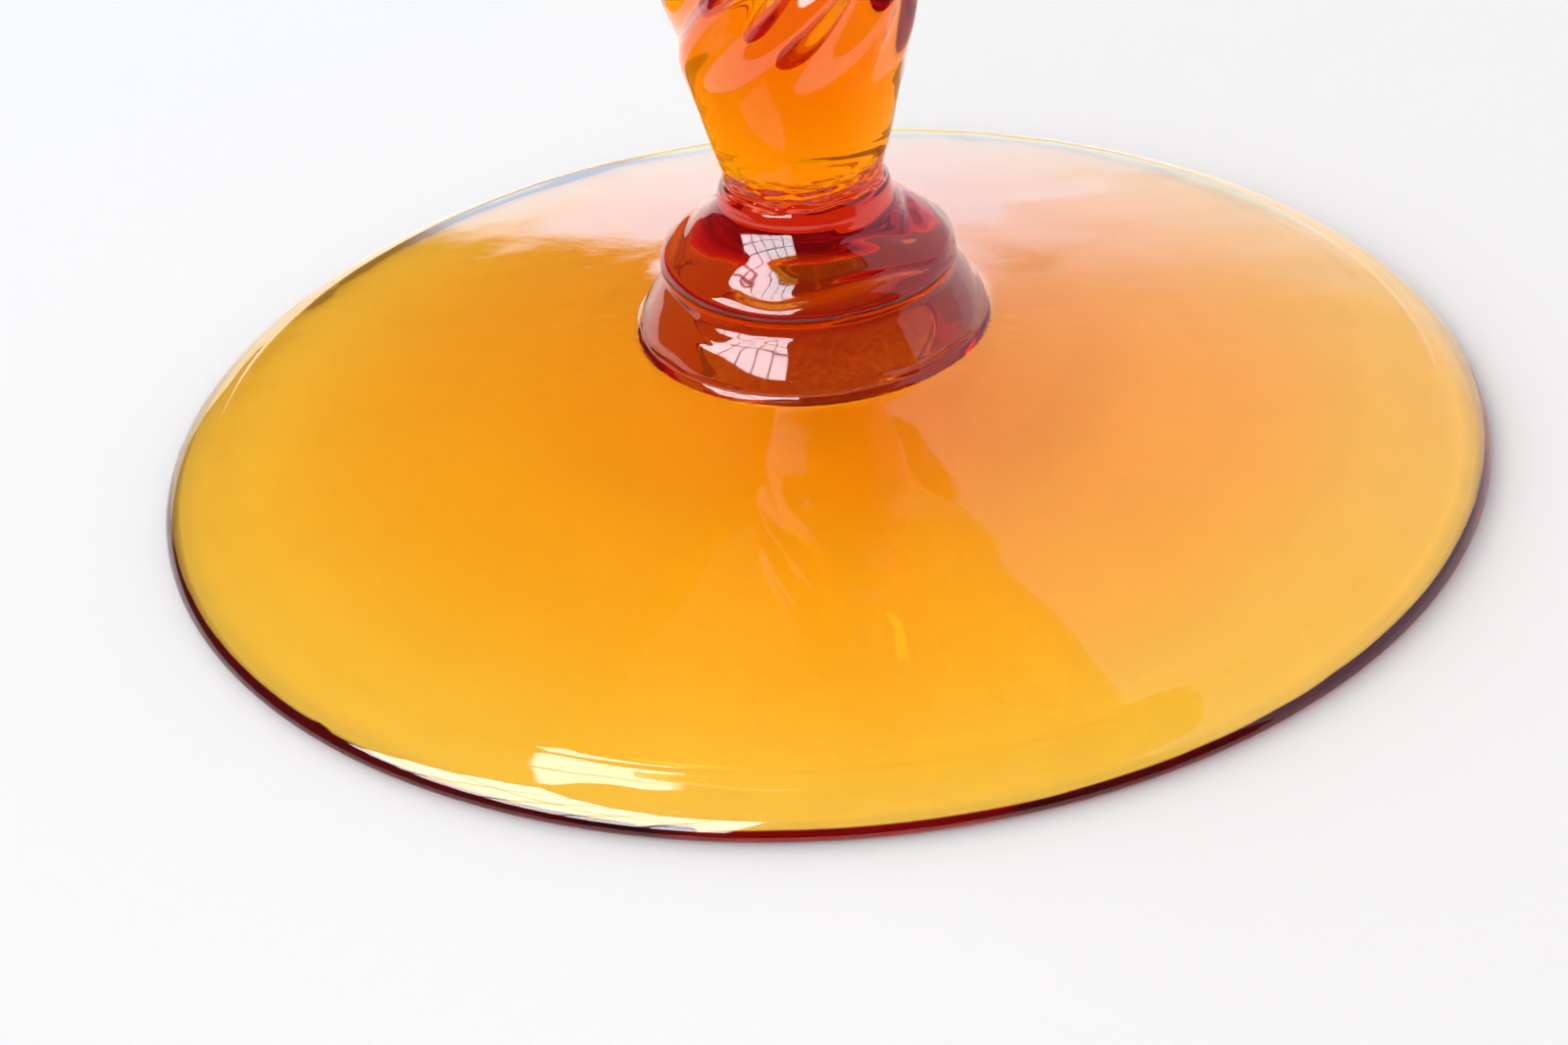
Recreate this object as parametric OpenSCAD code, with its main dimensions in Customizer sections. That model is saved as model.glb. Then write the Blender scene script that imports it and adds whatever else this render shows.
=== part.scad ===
// Covered glass vessel on a wide conical foot, with a right-hand twisted baluster stem.
// Every gather of glass is a node of its own. Millimetres, +Z up, origin under the centre of the foot.

/* [Foot] */
// Diameter of the foot at its rim
foot_d = 140; // [126:2:150]
// Height of the flat pad in the middle of the foot, which the lower collar is fused to
foot_h = 15; // [12:0.2:18]
// Thickness of the glass half-way up the slope of the foot
foot_wall = 4.8; // [4.2:0.1:5.2]

/* [Collars under the stem] */
// Diameter of the lower collar where it meets the foot
lower_collar_d = 36; // [32:1:40]
// Height of the lower collar
lower_collar_h = 5.8; // [5:0.2:7]
// Diameter of the upper collar over its lip
upper_collar_d = 30.8; // [28:0.4:32]
// Height of the upper collar
upper_collar_h = 8.6; // [7.6:0.2:10]

/* [Stem] */
// Height of the stem between its collars
stem_h = 67.4; // [60:0.2:76]
// Diameter of the stem's narrow neck
neck_d = 16.8; // [15:0.2:18]
// Diameter of the stem at its fullest
stem_d = 26; // [23:0.5:28]
// Number of twisted ribs
ribs = 8; // [6:1:10]
// Turn of the ribs over the height of the stem, in degrees, right-handed
stem_turn = 300; // [180:20:340]
// Depth of the ribs as a share of the radius
rib_depth = 0.07; // [0.03:0.01:0.09]

/* [Bowl] */
// Diameter of the bowl at its widest
bowl_d = 144; // [138:2:150]
// Height of the bowl
bowl_h = 90; // [84:2:100]
// Thickness of the bowl's wall
bowl_wall = 2.8; // [2.4:0.1:3.4]

/* [Lid] */
// Height of the lid's dome above its flange
lid_h = 32; // [28:1:38]
// Thickness of the lid's wall
lid_wall = 2.6; // [2.2:0.1:3.2]
// Depth that the locating ring reaches into the bowl
ring_depth = 7; // [5:0.5:9]
// Gap between the locating ring and the bowl, on the radius
ring_gap = 0.9; // [0.6:0.1:1.4]
// Height of the twisted finial
finial_h = 38; // [34:1:44]
// Diameter of the finial at its fullest
finial_d = 25; // [22:0.5:28]

/* [Hidden] */

$fn = 96;
steps = 5;           // straight pieces between two points of a smooth outline
rib_sides = 9;       // sides of the twisted pieces to each rib
seat_gap = 0.05;     // room between the lid's flange and the ground rim of the bowl

lower_collar_z = foot_h;
upper_collar_z = lower_collar_z + lower_collar_h;
stem_z = upper_collar_z + upper_collar_h;
stem_top_z = stem_z + stem_h;
top_collar_h = 6;
wafer_z = stem_top_z + top_collar_h;
wafer_h = 4;
wafer_r = 14;        // flat on which the bowl is fused to its wafer
bowl_z = wafer_z + wafer_h;
rim_z = bowl_z + bowl_h;
bowl_rim_r = bowl_d / 2 - 1.4;
bowl_mouth_r = bowl_rim_r - bowl_wall;
lid_z = rim_z + seat_gap;
flange_t = 3;
ring_r = bowl_mouth_r - ring_gap;
dome_top_z = lid_z + flange_t + lid_h;
lid_pad_r = 10.5;    // flat on which the lid's wafer is fused
lid_wafer_h = 5;
finial_z = dome_top_z + lid_wafer_h;
finial_neck_r = 6.2;
finial_turn = stem_turn * 0.57;
stem_end_r = 8.4;

amber = [0.93, 0.55, 0.05, 0.75];
deep_amber = [0.62, 0.2, 0.04, 0.85];

// A point at t between b and c, on the smooth curve through a, b, c and d
function on_curve(a, b, c, d, t) =
    0.5 * (2 * b + (c - a) * t + (2 * a - 5 * b + 4 * c - d) * t * t
           + (3 * b - a - 3 * c + d) * t * t * t);

// A smooth curve through the points p
function smooth(p, n = steps) = concat(
    [for (i = [0 : len(p) - 2], k = [0 : n - 1])
        on_curve(p[max(i - 1, 0)], p[i], p[i + 1], p[min(i + 2, len(p) - 1)], k / n)],
    [p[len(p) - 1]]);

// Rises smoothly from 0 to 1 as x goes from a to b
function ease(a, b, x) = let (t = min(max((x - a) / (b - a), 0), 1)) t * t * (3 - 2 * t);

module turned(outline) {
    rotate_extrude() polygon(outline);
}

// A turned solid whose ribs wind round it. rows holds [radius, height] from bottom to top,
// and the ribs are full between the heights fade[1] and fade[2].
module twisted(rows, turn, depth, fade) {
    low = rows[0][1];
    high = rows[len(rows) - 1][1];
    sides = ribs * rib_sides;
    function rib(z) = depth * ease(fade[0], fade[1], z) * (1 - ease(fade[2], fade[3], z));
    function radius(row, a) =
        row[0] * (1 + rib(row[1]) * (cos(ribs * (a - turn * (row[1] - low) / (high - low))) - 1));
    points = [for (row = rows, k = [0 : sides - 1])
        let (a = 360 * k / sides) [radius(row, a) * cos(a), radius(row, a) * sin(a), row[1]]];
    top = (len(rows) - 1) * sides;
    faces = concat(
        [[for (k = [0 : sides - 1]) k]],
        [[for (k = [sides - 1 : -1 : 0]) top + k]],
        [for (i = [0 : len(rows) - 2], k = [0 : sides - 1])
            let (a = i * sides + k, b = i * sides + (k + 1) % sides) [a, a + sides, b + sides]],
        [for (i = [0 : len(rows) - 2], k = [0 : sides - 1])
            let (a = i * sides + k, b = i * sides + (k + 1) % sides) [a, b + sides, b]]);
    polyhedron(points, faces, convexity = 6);
}

// The wide foot: a thin cone, open below, with a fire-rounded rim, a flat ring that it
// stands on, and the shallow ground pontil mark under the middle
module foot() {
    r = foot_d / 2;
    pad = lower_collar_d / 2;
    middle = (r + pad) / 2;
    slope = (foot_h - 7.2) / (r - 14 - pad);
    middle_z = 5.3 + slope * (r - 8 - middle);
    under = foot_h - foot_wall - 0.8;
    color(amber) turned(concat(
        [[0, foot_h], [pad, foot_h]],
        smooth([[pad + 0.5, foot_h - 0.35], [pad + 2.3, foot_h - 1.1], [pad + 6, foot_h - 1.9],
                [middle, middle_z], [r - 8, 5.3], [r - 4.5, 4.2], [r - 2, 2.95], [r - 0.6, 1.9],
                [r, 1], [r - 0.8, 0]]),
        smooth([[r - 2.4, 0], [r - 3.4, 0.35], [r - 10, 2.05], [middle, middle_z - foot_wall],
                [pad + 6, under - 1.7], [pad - 4, under]]),
        [[9, under], [8.4, under + 0.4], [5, under + 0.7], [0, under + 0.8]]));
}

// The lower of the two collars: a pressed gather with a slanting flank
module lower_collar() {
    r = lower_collar_d / 2;
    top = upper_collar_z;
    color(deep_amber) turned(concat(
        [[0, foot_h]],
        smooth([[r, foot_h], [r - 0.2, foot_h + 1], [r - 1, foot_h + 2.6], [r - 2.2, top - 1.5],
                [upper_collar_d / 2 - 0.6, top]]),
        [[0, top]]));
}

// The upper collar: a rounded lip, and a bell that rises to the stem's neck
module upper_collar() {
    r = upper_collar_d / 2;
    h = upper_collar_h;
    low = upper_collar_z;
    color(deep_amber) turned(concat(
        [[0, low]],
        smooth([[r - 0.6, low], [r, low + 0.9], [r - 0.3, low + 1.9], [r - 1.6, low + 3.3],
                [r - 3.6, low + h * 0.6], [neck_d / 2 + 1, low + h * 0.86],
                [neck_d / 2 + 0.5, low + h]]),
        [[0, low + h]]));
}

// The twisted baluster stem
module stem() {
    z = stem_z;
    r = stem_d / 2;
    n = neck_d / 2;
    rows = smooth([[n + 0.4, z], [n, z + 2.7], [n + 0.9, z + 6], [n + 2, z + 10.6], [r - 1.1, z + 16],
                   [r - 0.3, z + 20.2], [r, z + 25], [r - 0.6, z + 31], [r - 2.2, z + 39],
                   [n + 0.9, z + stem_h - 17], [n - 0.9, z + stem_h - 6.5], [stem_end_r, z + stem_h]], 3);
    color(amber) twisted(rows, stem_turn, rib_depth, [z + 7, z + 17, z + stem_h - 18, z + stem_h - 5]);
}

// The beaded collar that caps the stem
module stem_top_collar() {
    z = stem_top_z;
    color(deep_amber) turned(concat(
        [[0, z]],
        smooth([[stem_end_r + 0.6, z], [12, z + 1.1], [13.2, z + 2.8], [12.4, z + 4.6], [10.6, wafer_z]]),
        [[0, wafer_z]]));
}

// The thin wafer between the stem and the bowl
module bowl_wafer() {
    z = wafer_z;
    color(deep_amber) turned(concat(
        [[0, z]],
        smooth([[10.8, z], [15.6, z + 1], [16.8, z + 2.2], [16, z + 3.4], [wafer_r, bowl_z]]),
        [[0, bowl_z]]));
}

// The bowl, full at the shoulder and drawn in a little to a ground flat rim
module bowl() {
    r = bowl_d / 2;
    w = bowl_wall;
    z = bowl_z;
    color(amber) turned(concat(
        [[0, z], [wafer_r, z]],
        smooth([[wafer_r + 2, z + 0.3], [34, z + 4.4], [54, z + 16], [r - 4.4, z + 33], [r, z + 54],
                [r - 0.3, z + bowl_h * 0.8], [bowl_rim_r, rim_z - 0.5]]),
        [[bowl_rim_r - 0.4, rim_z], [bowl_mouth_r + 0.4, rim_z]],
        smooth([[bowl_mouth_r, rim_z - 0.5], [r - 0.3 - w, z + bowl_h * 0.8], [r - w, z + 54],
                [r - 4.8 - w, z + 34.5], [51.5, z + 18.5], [33, z + 8], [14, z + 4.6]]),
        [[0, z + 4.2]]));
}

// The domed lid, with a flange that rests on the bowl's rim and a ring that drops inside it
module lid() {
    r = bowl_rim_r + 1.6;
    dome_r = r - 6.2;
    w = lid_wall;
    flange_z = lid_z + flange_t;
    color(amber) turned(concat(
        [[0, dome_top_z], [lid_pad_r, dome_top_z]],
        smooth([[lid_pad_r + 2, dome_top_z - 0.3], [30, dome_top_z - 4],
                [dome_r - 16, flange_z + lid_h * 0.58], [dome_r - 4, flange_z + lid_h * 0.2],
                [dome_r, flange_z + 1], [dome_r + 2.4, flange_z - 0.1], [r - 0.8, flange_z - 0.8],
                [r, lid_z + 1.2], [r - 0.6, lid_z]]),
        [[ring_r + 0.6, lid_z], [ring_r, lid_z - 0.6]],
        smooth([[ring_r, lid_z - ring_depth + 1], [ring_r - 1, lid_z - ring_depth],
                [ring_r - 2, lid_z - ring_depth + 1]]),
        smooth([[ring_r - 2.2, lid_z], [dome_r - 0.8 - w, flange_z + 0.4],
                [dome_r - 4.2 - w, flange_z + lid_h * 0.18],
                [dome_r - 15.2 - w, flange_z + lid_h * 0.5], [29.4, dome_top_z - 4 - w],
                [10, dome_top_z - w - 0.2]]),
        [[0, dome_top_z - w - 0.2]]));
}

// The wafer between the lid and its finial
module lid_wafer() {
    z = dome_top_z;
    color(deep_amber) turned(concat(
        [[0, z]],
        smooth([[lid_pad_r - 0.4, z], [13.2, z + 0.9], [13.8, z + 2], [12, z + 3.4], [8.8, z + 4.4],
                [finial_neck_r + 0.4, finial_z]]),
        [[0, finial_z]]));
}

// The finial, twisted to match the stem and closed by a rounded tip
module finial() {
    z = finial_z;
    r = finial_d / 2;
    n = finial_neck_r;
    shares = [[n, 0], [n - 0.5, 0.05], [n + 1, 0.14], [r - 2.2, 0.28], [r, 0.45], [r - 1.3, 0.62],
              [r - 5.2, 0.76], [4.6, 0.85], [3.6, 0.9], [3.9, 0.94], [3, 0.98], [0.8, 1]];
    rows = smooth([for (s = shares) [s[0], z + s[1] * finial_h]], 3);
    fade = [for (t = [0.08, 0.26, 0.66, 0.84]) z + t * finial_h];
    color(amber) twisted(rows, finial_turn, rib_depth, fade);
}

foot();
lower_collar();
upper_collar();
stem();
stem_top_collar();
bowl_wafer();
bowl();
lid();
lid_wafer();
finial();
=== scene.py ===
"""Covered footed vessel in amber glass, worked by hand: ten gathers of glass, fused into a
footed bowl and a lid that lifts off."""
import math

import bpy
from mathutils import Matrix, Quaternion, Vector, noise


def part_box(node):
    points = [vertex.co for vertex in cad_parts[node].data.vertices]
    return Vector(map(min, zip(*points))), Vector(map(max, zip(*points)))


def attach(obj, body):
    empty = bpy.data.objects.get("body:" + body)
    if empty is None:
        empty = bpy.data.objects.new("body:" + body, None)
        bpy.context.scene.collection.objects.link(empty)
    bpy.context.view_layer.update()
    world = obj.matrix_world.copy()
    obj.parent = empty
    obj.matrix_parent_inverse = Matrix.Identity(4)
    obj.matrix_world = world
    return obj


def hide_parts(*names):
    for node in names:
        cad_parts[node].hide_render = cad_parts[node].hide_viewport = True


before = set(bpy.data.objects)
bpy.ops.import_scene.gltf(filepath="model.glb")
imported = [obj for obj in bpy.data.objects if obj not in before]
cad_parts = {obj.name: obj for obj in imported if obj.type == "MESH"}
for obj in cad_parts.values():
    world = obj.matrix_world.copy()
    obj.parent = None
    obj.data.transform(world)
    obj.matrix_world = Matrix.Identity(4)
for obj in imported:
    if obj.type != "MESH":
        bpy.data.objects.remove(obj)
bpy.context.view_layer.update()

MM = 0.001

# ------------------------------------------------------------------ sizes, in millimetres

LOW = {name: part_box(name)[0].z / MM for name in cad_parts}
HIGH = {name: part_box(name)[1].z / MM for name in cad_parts}
FOOT_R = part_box("foot")[1].x / MM
SEAM_GAP = 0.01           # half the hair's breadth left between two fused gathers
FOOT_GAP = 0.04           # the foot's ring clears the floor by this, so its rim shows dark
SAME_SPOT = 0.002         # corners closer than this are one

STEPS = 7                 # straight pieces between two points of a smooth outline
FINE_STEPS = 12           # the same on the twisted gathers
SIDES = 256               # sides of a blown gather
CLOSE_SIDES = 384         # of a gather that is seen from close by
SMALL_SIDES = 192
TEAR_SIDES = 96
CREASE = 32               # degrees: faces that meet at less than this shade as one

COLLAR_R = 18.2           # where the lower collar meets the foot
STEP_R = 14.8             # where the two collars meet
NECK_R = 8.9              # where the upper collar meets the stem
STEM_TOP_R = 8.6
CAP_R = 10.8              # where the stem's top collar meets the wafer under the bowl
WAFER_R = 14.0            # where that wafer meets the bowl
PAD_R = 10.3              # where the lid meets its wafer
FINIAL_R = 6.3            # where that wafer meets the finial

RIBS = 8
STEM_TURN = 300           # degrees that the stem was twisted by, from end to end
FINIAL_TURN = 171


# ------------------------------------------------------------------ hand work

def deselect():
    bpy.ops.object.select_all(action="DESELECT")


def between(low, high, value):
    """Rises smoothly from 0 at low to 1 at high; falls if low is the larger."""
    share = min(max((value - low) / (high - low), 0.0), 1.0)
    return share * share * (3 - 2 * share)


def curve(points, steps=STEPS):
    """A smooth line through (radius, height) points, with steps pieces between two of them."""
    line = []
    for i in range(len(points) - 1):
        a, b = points[max(i - 1, 0)], points[i]
        c, d = points[i + 1], points[min(i + 2, len(points) - 1)]
        for k in range(steps):
            t = k / steps
            line.append(tuple(
                0.5 * (2 * q + (r - p) * t + (2 * p - 5 * q + 4 * r - s) * t * t
                       + (3 * q - p - 3 * r + s) * t ** 3)
                for p, q, r, s in zip(a, b, c, d)))
    return line + [tuple(points[-1])]


def close_up(piece):
    """Merges what meets, turns every face outwards and puts the object at the origin."""
    bpy.ops.object.mode_set(mode="EDIT")
    bpy.ops.mesh.select_all(action="SELECT")
    bpy.ops.mesh.remove_doubles(threshold=SAME_SPOT * MM)
    bpy.ops.mesh.normals_make_consistent(inside=False)
    bpy.ops.object.mode_set(mode="OBJECT")
    bpy.ops.object.transform_apply(location=True, rotation=True, scale=True)
    return piece


def spun(name, outline, sides):
    """Draws half of a cross-section point by point and spins it round Z. The outline goes from
    the axis out and back to the axis, as (radius, height) in millimetres."""
    deselect()
    first = (outline[0][0] * MM, 0, outline[0][1] * MM)
    bpy.ops.mesh.primitive_plane_add(size=MM, location=first)
    piece = bpy.context.object
    piece.name = name
    bpy.ops.object.mode_set(mode="EDIT")
    bpy.ops.mesh.merge(type="CENTER")
    for here, there in zip(outline, outline[1:]):
        step = ((there[0] - here[0]) * MM, 0, (there[1] - here[1]) * MM)
        bpy.ops.mesh.extrude_vertices_move(TRANSFORM_OT_translate={"value": step})
    bpy.ops.mesh.select_all(action="SELECT")
    bpy.ops.mesh.spin(steps=sides, angle=2 * math.pi, center=(0, 0, 0), axis=(0, 0, 1))
    bpy.ops.object.mode_set(mode="OBJECT")
    return close_up(piece)


def apply(piece, modifier):
    bpy.context.view_layer.objects.active = piece
    bpy.ops.object.modifier_apply(modifier=modifier.name)


def press(piece, depth, rule):
    """Presses the surface in by depth millimetres times rule(place), which is 0 to 1."""
    pressed = piece.vertex_groups.new(name="pressed")
    for vertex in piece.data.vertices:
        share = rule(vertex.co / MM)
        if share > 0:
            pressed.add([vertex.index], share, "REPLACE")
    tool = piece.modifiers.new("press", "DISPLACE")
    tool.mid_level = 0
    tool.strength = -depth * MM
    tool.vertex_group = pressed.name
    apply(piece, tool)
    piece.vertex_groups.remove(piece.vertex_groups["pressed"])


def twist(piece, degrees):
    """Twists a gather right-handed along Z, as the glassmaker does while it's hot."""
    tool = piece.modifiers.new("twist", "SIMPLE_DEFORM")
    tool.deform_method = "TWIST"
    tool.deform_axis = "Z"
    tool.angle = math.radians(degrees)
    apply(piece, tool)


def clear_of(seams, place, reach):
    """0 at each fused face, rising to 1 at reach millimetres from all of them."""
    return min([between(0, reach, abs(place.z - z)) for z in seams] + [1.0])


def angle_of(place):
    return math.atan2(place.y, place.x)


def radius_of(place):
    return math.hypot(place.x, place.y)


def lumps(place, size, height, seed):
    """Smooth noise, 0 to 1, that closes on itself round the axis. size is the length of a
    lump round the piece and height its length along it, both in millimetres."""
    contrast = 1.6
    a = angle_of(place)
    turn = max(radius_of(place), 1.0) / size
    spot = Vector((math.cos(a) * turn, math.sin(a) * turn, place.z / height + seed))
    return 0.5 + 0.5 * max(-1.0, min(1.0, contrast * noise.noise(spot)))


def mark(piece, name, rule):
    """Gives each face a number, rule(centre, normal), that its glass reads by name."""
    values = [float(rule(face.center / MM, face.normal)) for face in piece.data.polygons]
    piece.data.attributes.new(name, "FLOAT", "FACE")
    piece.data.attributes[name].data.foreach_set("value", values)


def finish_glass(piece, node, body, glass, seams=(), ground=None):
    """Shades the piece, marks its fused faces and its ground ones, and puts it in the frame.
    seams are (height, radius), and ground(centre, normal) says which faces are ground."""
    deselect()
    piece.select_set(True)
    bpy.context.view_layer.objects.active = piece
    bpy.ops.object.shade_smooth_by_angle(angle=math.radians(CREASE))

    def is_fused(centre, normal):
        level = abs(normal.z) > 0.99
        return level and any(abs(centre.z - height) < 3 * SEAM_GAP and radius_of(centre) < radius
                             for height, radius in seams)

    mark(piece, "fused", is_fused)
    mark(piece, "ground", ground if ground else lambda centre, normal: 0.0)
    piece.data.materials.clear()
    piece.data.materials.append(glass)
    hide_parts(node)
    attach(piece, body)


# ------------------------------------------------------------------ shader helpers

def add(tree, kind, inputs=None, **settings):
    """Adds a node. inputs maps a socket to a value or to another node's output."""
    made = tree.nodes.new(kind)
    for setting, value in settings.items():
        setattr(made, setting, value)
    for socket, value in (inputs or {}).items():
        if isinstance(value, bpy.types.NodeSocket):
            tree.links.new(value, made.inputs[socket])
        else:
            made.inputs[socket].default_value = value
    return made


def maths(tree, operation, *values):
    return add(tree, "ShaderNodeMath", dict(enumerate(values)), operation=operation).outputs[0]


def ramp(tree, value, low, high, to_low=0.0, to_high=1.0):
    """value, taken smoothly from between low and high to between to_low and to_high."""
    inputs = {"Value": value, "From Min": low, "From Max": high,
              "To Min": to_low, "To Max": to_high}
    return add(tree, "ShaderNodeMapRange", inputs, interpolation_type="SMOOTHSTEP").outputs[0]


def tinted(tree, share, first, second):
    """The colour first where share is 0, and second where it is 1."""
    mix = add(tree, "ShaderNodeMix", {0: share, 6: first, 7: second}, data_type="RGBA")
    return mix.outputs[2]


def group(name, inputs, outputs):
    """An empty shader group. inputs are (name, default), outputs are (name, socket type)."""
    tree = bpy.data.node_groups.new(name, "ShaderNodeTree")
    for label, default in inputs:
        socket = tree.interface.new_socket(label, in_out="INPUT", socket_type="NodeSocketFloat")
        socket.default_value = default
    for label, kind in outputs:
        tree.interface.new_socket(label, in_out="OUTPUT", socket_type=kind)
    given, out = tree.nodes.new("NodeGroupInput"), tree.nodes.new("NodeGroupOutput")
    return tree, given.outputs, out.inputs


# ------------------------------------------------------------------ effects that the glasses share

def hand_finish_group():
    """The faint waves of hand-worked glass: soft swells, and fine cords that run outwards."""
    tree, given, out = group(
        "hand finish",
        [("Swell size", 60.0), ("Cord size", 300.0), ("Cord share", 0.25)],
        [("Height", "NodeSocketFloat")])
    place = add(tree, "ShaderNodeTexCoord").outputs["Object"]
    swell = add(tree, "ShaderNodeTexNoise",
                {"Vector": place, "Scale": given["Swell size"], "Detail": 3.0, "Roughness": 0.52})
    outwards = add(tree, "ShaderNodeVectorMath", {0: place}, operation="NORMALIZE").outputs[0]
    cords = add(tree, "ShaderNodeTexNoise",
                {"Vector": outwards, "Scale": given["Cord size"], "Detail": 2.0,
                 "Roughness": 0.5})
    some_cords = maths(tree, "MULTIPLY", cords.outputs[0], given["Cord share"])
    tree.links.new(maths(tree, "ADD", swell.outputs[0], some_cords), out["Height"])
    return tree


def handling_group():
    """Wear and dust: a mask of hair scratches, and one of specks that settle on level glass."""
    tree, given, out = group(
        "handling",
        [("Scratches", 1.0), ("Specks", 1.0)],
        [("Scratch mask", "NodeSocketFloat"), ("Speck mask", "NodeSocketFloat")])
    place = add(tree, "ShaderNodeTexCoord").outputs["Object"]

    wander = add(tree, "ShaderNodeTexNoise", {"Vector": place, "Scale": 40.0, "Detail": 1.0})
    bend = add(tree, "ShaderNodeVectorMath", {0: wander.outputs["Color"], "Scale": 0.012},
               operation="SCALE")
    bent = add(tree, "ShaderNodeVectorMath", {0: place, 1: bend.outputs[0]}, operation="ADD")
    hairs = add(tree, "ShaderNodeTexVoronoi", {"Vector": bent.outputs[0], "Scale": 140.0},
                feature="DISTANCE_TO_EDGE")
    patches = add(tree, "ShaderNodeTexNoise", {"Vector": place, "Scale": 90.0, "Detail": 2.0})
    thin = ramp(tree, hairs.outputs["Distance"], 0.0, 0.02, 1.0, 0.0)
    scratched = maths(tree, "MULTIPLY", thin, ramp(tree, patches.outputs[0], 0.58, 0.72))
    tree.links.new(maths(tree, "MULTIPLY", scratched, given["Scratches"]), out["Scratch mask"])

    grains = add(tree, "ShaderNodeTexVoronoi", {"Vector": place, "Scale": 420.0})
    facing = add(tree, "ShaderNodeNewGeometry").outputs["Normal"]
    level = add(tree, "ShaderNodeSeparateXYZ", {0: facing}).outputs["Z"]
    small = ramp(tree, grains.outputs["Distance"], 0.03, 0.07, 1.0, 0.0)
    settled = maths(tree, "MULTIPLY", small, ramp(tree, level, 0.3, 0.8))
    tree.links.new(maths(tree, "MULTIPLY", settled, given["Specks"]), out["Speck mask"])
    return tree


HAND_FINISH = hand_finish_group()
HANDLING = handling_group()


# ------------------------------------------------------------------ glass

GLASS_IOR = 1.5
AMBER = (14.0, 90.0, 430.0)        # red, green and blue taken up per metre of glass
DEEP_AMBER = (15.0, 95.0, 440.0)
CLEAN = (1.0, 0.995, 0.985, 1.0)
DUST = (0.75, 0.72, 0.68, 1.0)
SPECKS = 0.3                       # share of full dust
SCRATCH_ROUGHNESS = 0.1


def amber_glass(name, wave, absorbs=AMBER, swell=60.0, cord=9.0, cord_share=0.3, sheen=0.0):
    """Amber glass that colours light by the length of its way through. Its fused faces bend
    nothing, and its ground faces are frosted. wave is the height of its waves in millimetres,
    and sheen the roughness that the tools left."""
    glass = bpy.data.materials.new(name)
    glass.use_nodes = True
    tree = glass.node_tree
    tree.nodes.clear()
    fused = add(tree, "ShaderNodeAttribute", attribute_name="fused").outputs["Fac"]
    ground = add(tree, "ShaderNodeAttribute", attribute_name="ground").outputs["Fac"]
    finish = add(tree, "ShaderNodeGroup", node_tree=HAND_FINISH)
    finish.inputs["Swell size"].default_value = swell
    finish.inputs["Cord size"].default_value = cord
    finish.inputs["Cord share"].default_value = cord_share
    wear = add(tree, "ShaderNodeGroup", node_tree=HANDLING)
    wear.inputs["Specks"].default_value = SPECKS

    place = add(tree, "ShaderNodeTexCoord").outputs["Object"]
    grit = add(tree, "ShaderNodeTexNoise", {"Vector": place, "Scale": 2200.0, "Detail": 3.0})
    frost = maths(tree, "MULTIPLY", ground, ramp(tree, grit.outputs[0], 0.2, 0.8, 0.4, 0.62))
    worn = maths(tree, "MULTIPLY_ADD", wear.outputs["Scratch mask"], SCRATCH_ROUGHNESS, sheen)
    waves = add(tree, "ShaderNodeBump", {"Strength": 1.0, "Distance": wave * MM,
                                         "Height": finish.outputs["Height"]})
    shader = add(tree, "ShaderNodeBsdfPrincipled",
                 {"Base Color": tinted(tree, wear.outputs["Speck mask"], CLEAN, DUST),
                  "Roughness": maths(tree, "ADD", frost, worn),
                  "Normal": waves.outputs["Normal"],
                  "IOR": ramp(tree, fused, 0.0, 1.0, GLASS_IOR, 1.0)})
    shader.inputs["Transmission Weight"].default_value = 1.0

    body = add(tree, "ShaderNodeVolumeAbsorption")
    density = max(absorbs)
    body.inputs["Density"].default_value = density
    body.inputs["Color"].default_value = (*(1 - taken / density for taken in absorbs), 1.0)
    out = add(tree, "ShaderNodeOutputMaterial").inputs
    tree.links.new(shader.outputs[0], out["Surface"])
    tree.links.new(body.outputs[0], out["Volume"])
    return glass


# ------------------------------------------------------------------ the foot

def make_foot(glass):
    top, r, ring = HIGH["foot"], FOOT_R, FOOT_GAP
    pontil_r = 8.6
    seam = top - SEAM_GAP
    upper_side = [
        (COLLAR_R + 0.35, seam - 0.35), (19.3, top - 0.75), (21.5, top - 1.3), (25, top - 2.05),
        (31, top - 3.3), (44, 9.0), (r - 8, 5.3), (r - 4.5, 4.2), (r - 2, 2.95), (r - 0.6, 1.9),
        (r, 1.0), (r - 0.2, 0.4), (r - 0.8, ring)]
    under_side = [
        (r - 2.4, ring), (r - 3.4, 0.35), (r - 10, 2.05), (44, 4.1), (31, 6.1), (24, top - 7.8),
        (14, top - 5.7), (9, top - 5.6)]
    pontil = [(pontil_r, top - 5.3), (5, top - 4.9), (0, top - 4.8)]
    outline = ([(0, seam), (COLLAR_R, seam)] + curve(upper_side) + curve(under_side)
               + curve(pontil, 4))
    piece = spun("foot", outline, CLOSE_SIDES)

    def swells(place):
        radius = radius_of(place)
        free = between(19, 24, radius) * between(r, r - 3, radius)
        return free * (0.6 * lumps(place, 14, 9, 3.0) + 0.4 * lumps(place, 6, 60, 11.0))

    def is_pontil(centre, normal):
        return normal.z < -0.9 and radius_of(centre) < pontil_r - 0.1

    press(piece, 0.14, swells)
    finish_glass(piece, "foot", "vessel", glass, [(seam, COLLAR_R)], is_pontil)


# ------------------------------------------------------------------ collars and wafers

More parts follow.
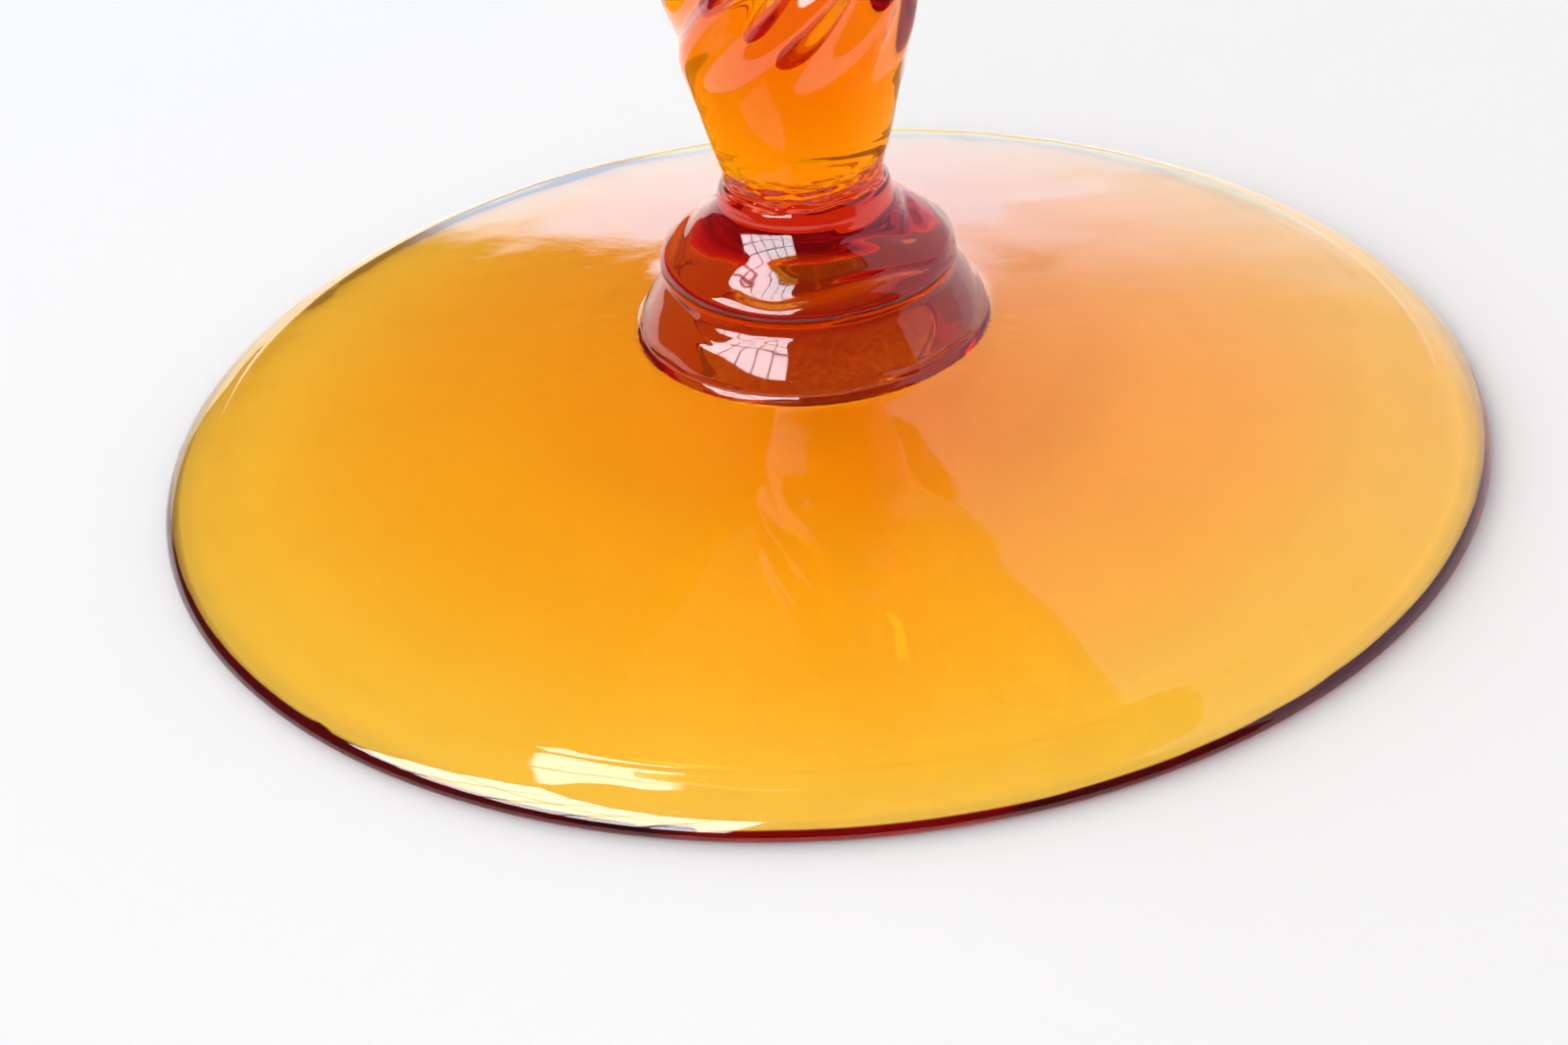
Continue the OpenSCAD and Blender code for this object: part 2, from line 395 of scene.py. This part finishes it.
def tooled(piece, seams, depth, wraps, seed):
    """Leaves the marks of the jacks: uneven wraps round a collar, and a few soft dents."""
    def wrap_marks(place):
        dents = lumps(place, 9, 5, seed)
        fold = 0.5 + 0.5 * math.sin(wraps * place.z + angle_of(place) + 5 * dents)
        crest = fold ** 5 * between(0.3, 0.6, lumps(place, 13, 9, seed + 7))
        return clear_of(seams, place, 0.7) * (0.55 * crest + 0.45 * dents)

    press(piece, depth, wrap_marks)


def make_collar(name, body, glass, low_r, high_r, side, steps, sides, depth, wraps, seed):
    """A tooled gather between two fused faces of radius low_r and high_r. side holds
    (radius, height) up from the lower face, or down from the upper one if height is below 0."""
    low, high = LOW[name] + SEAM_GAP, HIGH[name] - SEAM_GAP
    profile = [(r, (high if up < 0 else low) + up) for r, up in side]
    outline = (
        [(0, low)] + curve([(low_r, low)] + profile + [(high_r, high)], steps) + [(0, high)])
    piece = spun(name, outline, sides)
    tooled(piece, (low, high), depth, wraps, seed)
    finish_glass(piece, name, body, glass, [(low, low_r), (high, high_r)])


def make_lower_collar(glass):
    side = [(18.15, 0.5), (17.8, 1.4), (17.0, 2.7), (16.0, 4.1), (15.1, -0.5)]
    make_collar("lower_collar", "vessel", glass, COLLAR_R, STEP_R, side, 9, CLOSE_SIDES,
                depth=0.42, wraps=1.7, seed=21.0)


def make_upper_collar(glass):
    side = [(15.3, 0.4), (15.55, 1.2), (15.2, 2.2), (14.2, 3.2), (12.2, 4.7), (10.6, 6.0),
            (9.5, 7.3)]
    make_collar("upper_collar", "vessel", glass, STEP_R, NECK_R, side, 9, CLOSE_SIDES,
                depth=0.5, wraps=1.6, seed=35.0)


def make_stem_top_collar(glass):
    side = [(10.6, 0.35), (12.3, 1.3), (13.2, 2.8), (12.6, 4.3), (11.4, -0.5)]
    make_collar("stem_top_collar", "vessel", glass, STEM_TOP_R, CAP_R, side, 8, SMALL_SIDES,
                depth=0.35, wraps=2.1, seed=83.0)


def make_bowl_wafer(glass):
    side = [(13.6, 0.3), (16, 1.1), (16.8, 2.1), (16.1, 3.1), (14.7, -0.3)]
    make_collar("bowl_wafer", "vessel", glass, CAP_R, WAFER_R, side, 8, SMALL_SIDES,
                depth=0.25, wraps=1.6, seed=95.0)


def make_lid_wafer(glass):
    side = [(12.6, 0.35), (13.8, 1.8), (12.4, 3.1), (9.4, 4.1), (7.0, -0.35)]
    make_collar("lid_wafer", "cover", glass, PAD_R, FINIAL_R, side, 8, SMALL_SIDES,
                depth=0.3, wraps=1.8, seed=107.0)


# ------------------------------------------------------------------ the twisted pieces

def flutes(place, fade_in, fade_out):
    """Straight flutes round a gather, which fade towards its two ends."""
    fade = between(*fade_in, place.z) * between(*fade_out, place.z)
    return fade * (0.5 - 0.5 * math.cos(RIBS * angle_of(place)))


def make_tear():
    """The long bubble of air in the stem, with its faces towards the glass round it."""
    outline = [(0, 45.6), (1.5, 46.3), (3.2, 49.5), (4.3, 55), (4.0, 62), (2.9, 71), (1.6, 79),
               (0.6, 84), (0, 85.2)]
    off_centre = (-1.3 * MM, 0.4 * MM, 0)
    tear = spun("tear", curve(outline, 8), TEAR_SIDES)
    bpy.ops.object.mode_set(mode="EDIT")
    bpy.ops.mesh.select_all(action="SELECT")
    bpy.ops.transform.translate(value=off_centre)
    bpy.ops.mesh.flip_normals()
    bpy.ops.object.mode_set(mode="OBJECT")
    return tear


def make_stem(glass):
    low, high = LOW["stem"] + SEAM_GAP, HIGH["stem"] - SEAM_GAP
    baluster = [
        (NECK_R, low), (8.55, low + 1.3), (8.45, low + 2.7), (9.3, low + 6), (10.45, low + 10.6),
        (11.95, low + 16), (12.7, low + 20.2), (13.0, low + 25), (12.4, low + 31),
        (10.9, low + 39), (9.3, high - 17), (7.6, high - 6.5), (8.1, high - 1.5),
        (STEM_TOP_R, high)]
    piece = spun("stem", [(0, low)] + curve(baluster, FINE_STEPS) + [(0, high)], SMALL_SIDES)

    def ribs(place):
        return flutes(place, (low + 12, low + 26), (high - 3, high - 18))

    def swells(place):
        return clear_of((low, high), place, 2.5) * lumps(place, 11, 12, 50.0)

    def neck_marks(place):
        neck = between(low + 0.4, low + 1.2, place.z) * between(low + 5.5, low + 3, place.z)
        return neck * lumps(place, 3, 0.5, 61.0)

    press(piece, 2.0, ribs)
    press(piece, 0.15, swells)
    press(piece, 0.35, neck_marks)
    twist(piece, STEM_TURN)
    tear = make_tear()
    deselect()
    tear.select_set(True)
    piece.select_set(True)
    bpy.context.view_layer.objects.active = piece
    bpy.ops.object.join()
    finish_glass(piece, "stem", "vessel", glass,
                 [(low, NECK_R), (high, STEM_TOP_R)])


def make_finial(glass):
    low, tall = LOW["finial"] + SEAM_GAP, HIGH["finial"] - LOW["finial"]
    rows = [(FINIAL_R, 0), (5.75, 0.05), (7.2, 0.14), (10.3, 0.28), (12.5, 0.45), (11.2, 0.62),
            (7.3, 0.76), (4.6, 0.85), (3.6, 0.9), (3.9, 0.94), (3.1, 0.975), (1.7, 0.994),
            (0, 1)]                # radius, and the share of the finial's height
    knob = [(r, low + share * (tall - SEAM_GAP)) for r, share in rows]
    piece = spun("finial", [(0, low)] + curve(knob, FINE_STEPS), SMALL_SIDES)

    def ribs(place):
        return flutes(place, (low + 0.08 * tall, low + 0.26 * tall),
                      (low + 0.84 * tall, low + 0.66 * tall))

    def swells(place):
        return clear_of((low,), place, 2) * lumps(place, 7, 7, 72.0)

    press(piece, 2.0, ribs)
    press(piece, 0.2, swells)
    twist(piece, FINIAL_TURN)
    finish_glass(piece, "finial", "cover", glass, [(low, FINIAL_R)])


# ------------------------------------------------------------------ the bowl and the lid

def make_bowl(glass):
    low, rim, r = LOW["bowl"], HIGH["bowl"], 72.0
    seam = low + SEAM_GAP
    rim_r, mouth_r = 70.6, 67.8
    outside = [
        (WAFER_R + 0.7, seam + 0.12), (18, low + 0.7), (34, low + 4.4), (54, low + 16),
        (67.6, low + 33), (r, low + 54), (71.7, low + 72), (rim_r, rim - 0.5)]
    ground_rim = [
        (rim_r - 0.15, rim - 0.15), (rim_r - 0.5, rim), (mouth_r + 0.5, rim),
        (mouth_r + 0.15, rim - 0.15)]
    inside = [
        (mouth_r, rim - 0.5), (68.9, low + 72), (69.2, low + 54), (64.4, low + 34.5),
        (51.5, low + 18.5), (33, low + 8), (14, low + 4.6), (0, low + 4.2)]
    outline = [(0, seam), (WAFER_R, seam)] + curve(outside, 9) + ground_rim + curve(inside, 9)
    piece = spun("bowl", outline, SIDES)

    def swells(place):
        free = between(15, 24, radius_of(place)) * between(rim, rim - 6, place.z)
        return free * lumps(place, 24, 24, 121.0)

    def is_rim(centre, normal):
        return abs(centre.z - rim) < 2 * SEAM_GAP

    press(piece, 0.22, swells)
    finish_glass(piece, "bowl", "vessel", glass, [(seam, WAFER_R)], is_rim)


def make_lid(glass):
    low, top, r = LOW["lid"], HIGH["lid"], 72.2
    seat = HIGH["bowl"] + 0.05          # the lid rests this far above the bowl's rim
    flange = seat + 3
    dome_r = r - 6.2
    ring_r = 66.9                       # the ring under the lid that keeps it in place
    rise = top - flange
    seam = top - SEAM_GAP
    outside = [
        (PAD_R + 0.7, seam - 0.1), (15, top - 0.75), (30, top - 4),
        (dome_r - 16, flange + rise * 0.58), (dome_r - 4, flange + rise * 0.2),
        (dome_r + 0.1, flange + 0.9), (dome_r + 2.4, flange - 0.05), (r - 1.3, flange - 0.5),
        (r - 0.2, flange - 1.2), (r, seat + 1.2), (r - 0.25, seat + 0.3), (r - 0.7, seat)]
    ground_seat = [(ring_r + 0.7, seat), (ring_r + 0.1, seat - 0.25)]
    inside = [
        (ring_r, seat - 0.8), (ring_r, low + 1), (ring_r - 0.3, low + 0.3), (ring_r - 1, low),
        (ring_r - 1.7, low + 0.3), (ring_r - 2, low + 1), (ring_r - 2.2, seat),
        (dome_r - 3.4, flange + 0.4), (dome_r - 6.8, flange + rise * 0.18),
        (dome_r - 17.8, flange + rise * 0.5), (29.4, top - 6.6), (10, top - 2.9), (0, top - 2.8)]
    outline = [(0, seam), (PAD_R, seam)] + curve(outside, 8) + ground_seat + curve(inside, 8)
    piece = spun("lid", outline, SIDES)

    def swells(place):
        free = between(11, 20, radius_of(place)) * between(flange, flange + 5, place.z)
        return free * lumps(place, 22, 22, 133.0)

    def is_seat(centre, normal):
        return abs(centre.z - seat) < 2 * SEAM_GAP

    press(piece, 0.2, swells)
    finish_glass(piece, "lid", "cover", glass, [(seam, PAD_R)], is_seat)


# ------------------------------------------------------------------ studio

FLOOR_LIGHT = (0.9, 0.9, 0.9, 1)         # what the floor throws back into the glass
FLOOR_SEEN = (0.6, 0.625, 0.66, 1)       # the two tones of the floor itself
FLOOR_SEEN_TOO = (0.66, 0.665, 0.67, 1)

# Bright areas of the studio, later ones over earlier ones. Angles are in degrees: how high an
# area starts and ends, its left and right ends, and how soft its level and its upright edges are.
# 0 is straight behind the vessel, and angles grow to the right.
ROOM = (0.06, 0.065, 0.08, 1.0)
AREAS = [
    # low, high, left, right, soft level, soft upright, colour
    (0, 60, 13.5, 112, 0.6, 0.6, (0.7, 0.86, 1.1)),             # the wall on the right
    (-95, 8.5, -12.3, 115, 0.8, 0.8, (0.9, 1.1, 1.4)),          # the sweep behind
    (-95, 15, -4, 22, 6.0, 2.5, (1.0, 1.45, 2.1)),              # its glow
    (-95, 7.5, -12.3, 20, 0.8, 2.0, (1.0, 1.75, 2.7)),          # its bright foot
    (30, 66, -3.6, -3.0, 0.3, 0.3, (1.2, 1.2, 1.2)),            # a lit edge
]
PANE_STEP = 14                           # from one pane to the next, with a bar between
SKYLIGHT = (12.0, 12.5, 13.0)            # one row of 4 panes, high on the left
WINDOW = (14.0, 15.0, 16.0)              # 3 rows of 5 panes, at the front left

# What matt surfaces get, which is softer.
MATT_ROOM = (0.55, 0.55, 0.56, 1.0)
MATT_AREAS = [
    (-95, 45, -200, 200, 8.0, 8.0, (1.25, 1.3, 1.35)),
    (-95, 45, -180, -10, 14.0, 14.0, (3.7, 3.7, 3.7)),
]
THROUGH_GLASS = (0.85, 0.8, 0.75, 1.0)   # mixed in where the light came through glass
THROUGH_SHARE = 0.45
BACKDROP = (0.9, 0.93, 0.97, 1.0)        # what the camera sees of the studio


def pale_floor():
    deselect()
    bpy.ops.mesh.primitive_circle_add(vertices=96, radius=6, fill_type="NGON")
    floor = bpy.context.object
    floor.name = "floor"
    paper = bpy.data.materials.new("pale floor")
    paper.use_nodes = True
    tree = paper.node_tree
    place = add(tree, "ShaderNodeTexCoord").outputs["Object"]
    mottle = add(tree, "ShaderNodeTexNoise", {"Vector": place, "Scale": 3.0, "Detail": 3.0})
    tone = tinted(tree, mottle.outputs[0], FLOOR_SEEN, FLOOR_SEEN_TOO)
    seen = add(tree, "ShaderNodeLightPath").outputs["Is Camera Ray"]
    shader = tree.nodes["Principled BSDF"]
    tree.links.new(tinted(tree, seen, FLOOR_LIGHT, tone), shader.inputs["Base Color"])
    shader.inputs["Roughness"].default_value = 0.9
    shader.inputs["Specular IOR Level"].default_value = 0.1
    floor.data.materials.append(paper)


def studio_light():
    """The studio as glass shows it: a bright sweep low behind, a bright wall on the right, a
    paned window and skylight at the front left, and a dim room elsewhere."""
    world = bpy.data.worlds.new("studio")
    bpy.context.scene.world = world
    world.use_nodes = True
    world.cycles.sampling_method = "NONE"
    tree = world.node_tree
    tree.nodes.clear()
    toward = add(tree, "ShaderNodeTexCoord").outputs["Generated"]
    axes = add(tree, "ShaderNodeSeparateXYZ", {0: toward}).outputs
    height = maths(tree, "ARCSINE", axes["Z"])
    heading = maths(tree, "ARCTAN2", axes["X"], axes["Y"])

    def degrees(value, low, high, soft):
        """1 where value lies between low and high degrees, with soft edges."""
        rise = ramp(tree, value, math.radians(low - soft), math.radians(low + soft))
        fall = ramp(tree, value, math.radians(high - soft), math.radians(high + soft), 1.0, 0.0)
        return maths(tree, "MULTIPLY", rise, fall)

    def lit(under, low, high, left, right, soft_level, soft_upright, colour):
        """The same light, with an area of the studio lit in colour."""
        where = maths(tree, "MULTIPLY", degrees(height, low, high, soft_level),
                      degrees(heading, left, right, soft_upright))
        return tinted(tree, where, under, (*colour, 1.0))

    def plain(colour):
        source = add(tree, "ShaderNodeRGB").outputs[0]
        source.default_value = colour
        return source

    shown = plain(ROOM)
    for area in AREAS:
        shown = lit(shown, *area)
    for column in range(4):
        left = -86 + PANE_STEP * column
        shown = lit(shown, 64, 76, left, left + 12.5, 0.6, 0.6, SKYLIGHT)
    for column in range(5):
        left = -160 + PANE_STEP * column
        for row in range(3):
            low = 28 + 12 * row
            shown = lit(shown, low, low + 11, left, left + 12.8, 0.5, 0.5, WINDOW)
    matt = plain(MATT_ROOM)
    for area in MATT_AREAS:
        matt = lit(matt, *area)

    path = add(tree, "ShaderNodeLightPath").outputs
    through = maths(tree, "GREATER_THAN", path["Transmission Depth"], 0.5)
    softened = maths(tree, "MULTIPLY", through, THROUGH_SHARE)
    shown = tinted(tree, softened, shown, THROUGH_GLASS)
    after_matt = maths(tree, "GREATER_THAN", path["Diffuse Depth"], 0.5)
    light = tinted(tree, after_matt, shown, matt)
    seen = tinted(tree, path["Is Camera Ray"], light, BACKDROP)
    sky = add(tree, "ShaderNodeBackground", {"Color": seen})
    tree.links.new(sky.outputs[0], add(tree, "ShaderNodeOutputWorld").inputs["Surface"])


def set_camera():
    """Looks down at the foot from close by, with the camera rolled a little."""
    place = Vector((0.0, -270.2, 163.85)) * MM
    aim = Vector((-4.58, -19.08, 1.0)) * MM
    roll = math.radians(-4.81)
    bpy.ops.object.camera_add(location=place)
    camera = bpy.context.object
    camera.data.sensor_width = 36
    camera.data.lens = 67.5
    camera.data.clip_start = 0.01
    camera.rotation_mode = "QUATERNION"
    towards = (aim - place).to_track_quat("-Z", "Y")
    camera.rotation_quaternion = towards @ Quaternion((0, 0, 1), roll)
    bpy.context.scene.camera = camera


def set_look():
    """Enough bounces for light to find its way through thick glass, and plain colours."""
    scene = bpy.context.scene
    scene.view_settings.view_transform = "Standard"
    scene.view_settings.look = "None"
    scene.cycles.caustics_reflective = True
    scene.cycles.caustics_refractive = True
    scene.cycles.max_bounces = 28
    scene.cycles.transmission_bounces = 28
    scene.cycles.glossy_bounces = 12
    scene.cycles.transparent_max_bounces = 16
    scene.cycles.diffuse_bounces = 4
    scene.cycles.sample_clamp_indirect = 8.0
    scene.cycles.blur_glossy = 0.0


set_camera()
set_look()
studio_light()
pale_floor()

foot_glass = amber_glass("amber glass, spun foot", wave=0.045, cord=13.0, cord_share=0.4)
collar_glass = amber_glass("amber glass, tooled collars", wave=0.03, absorbs=DEEP_AMBER,
                           swell=180.0, cord_share=0.1, sheen=0.045)
stem_glass = amber_glass("amber glass, twisted", wave=0.03, swell=120.0)
blown_glass = amber_glass("amber glass, blown", wave=0.03, swell=45.0)

make_foot(foot_glass)
make_lower_collar(collar_glass)
make_upper_collar(collar_glass)
make_stem(stem_glass)
make_stem_top_collar(collar_glass)
make_bowl_wafer(collar_glass)
make_bowl(blown_glass)
make_lid(blown_glass)
make_lid_wafer(collar_glass)
make_finial(stem_glass)
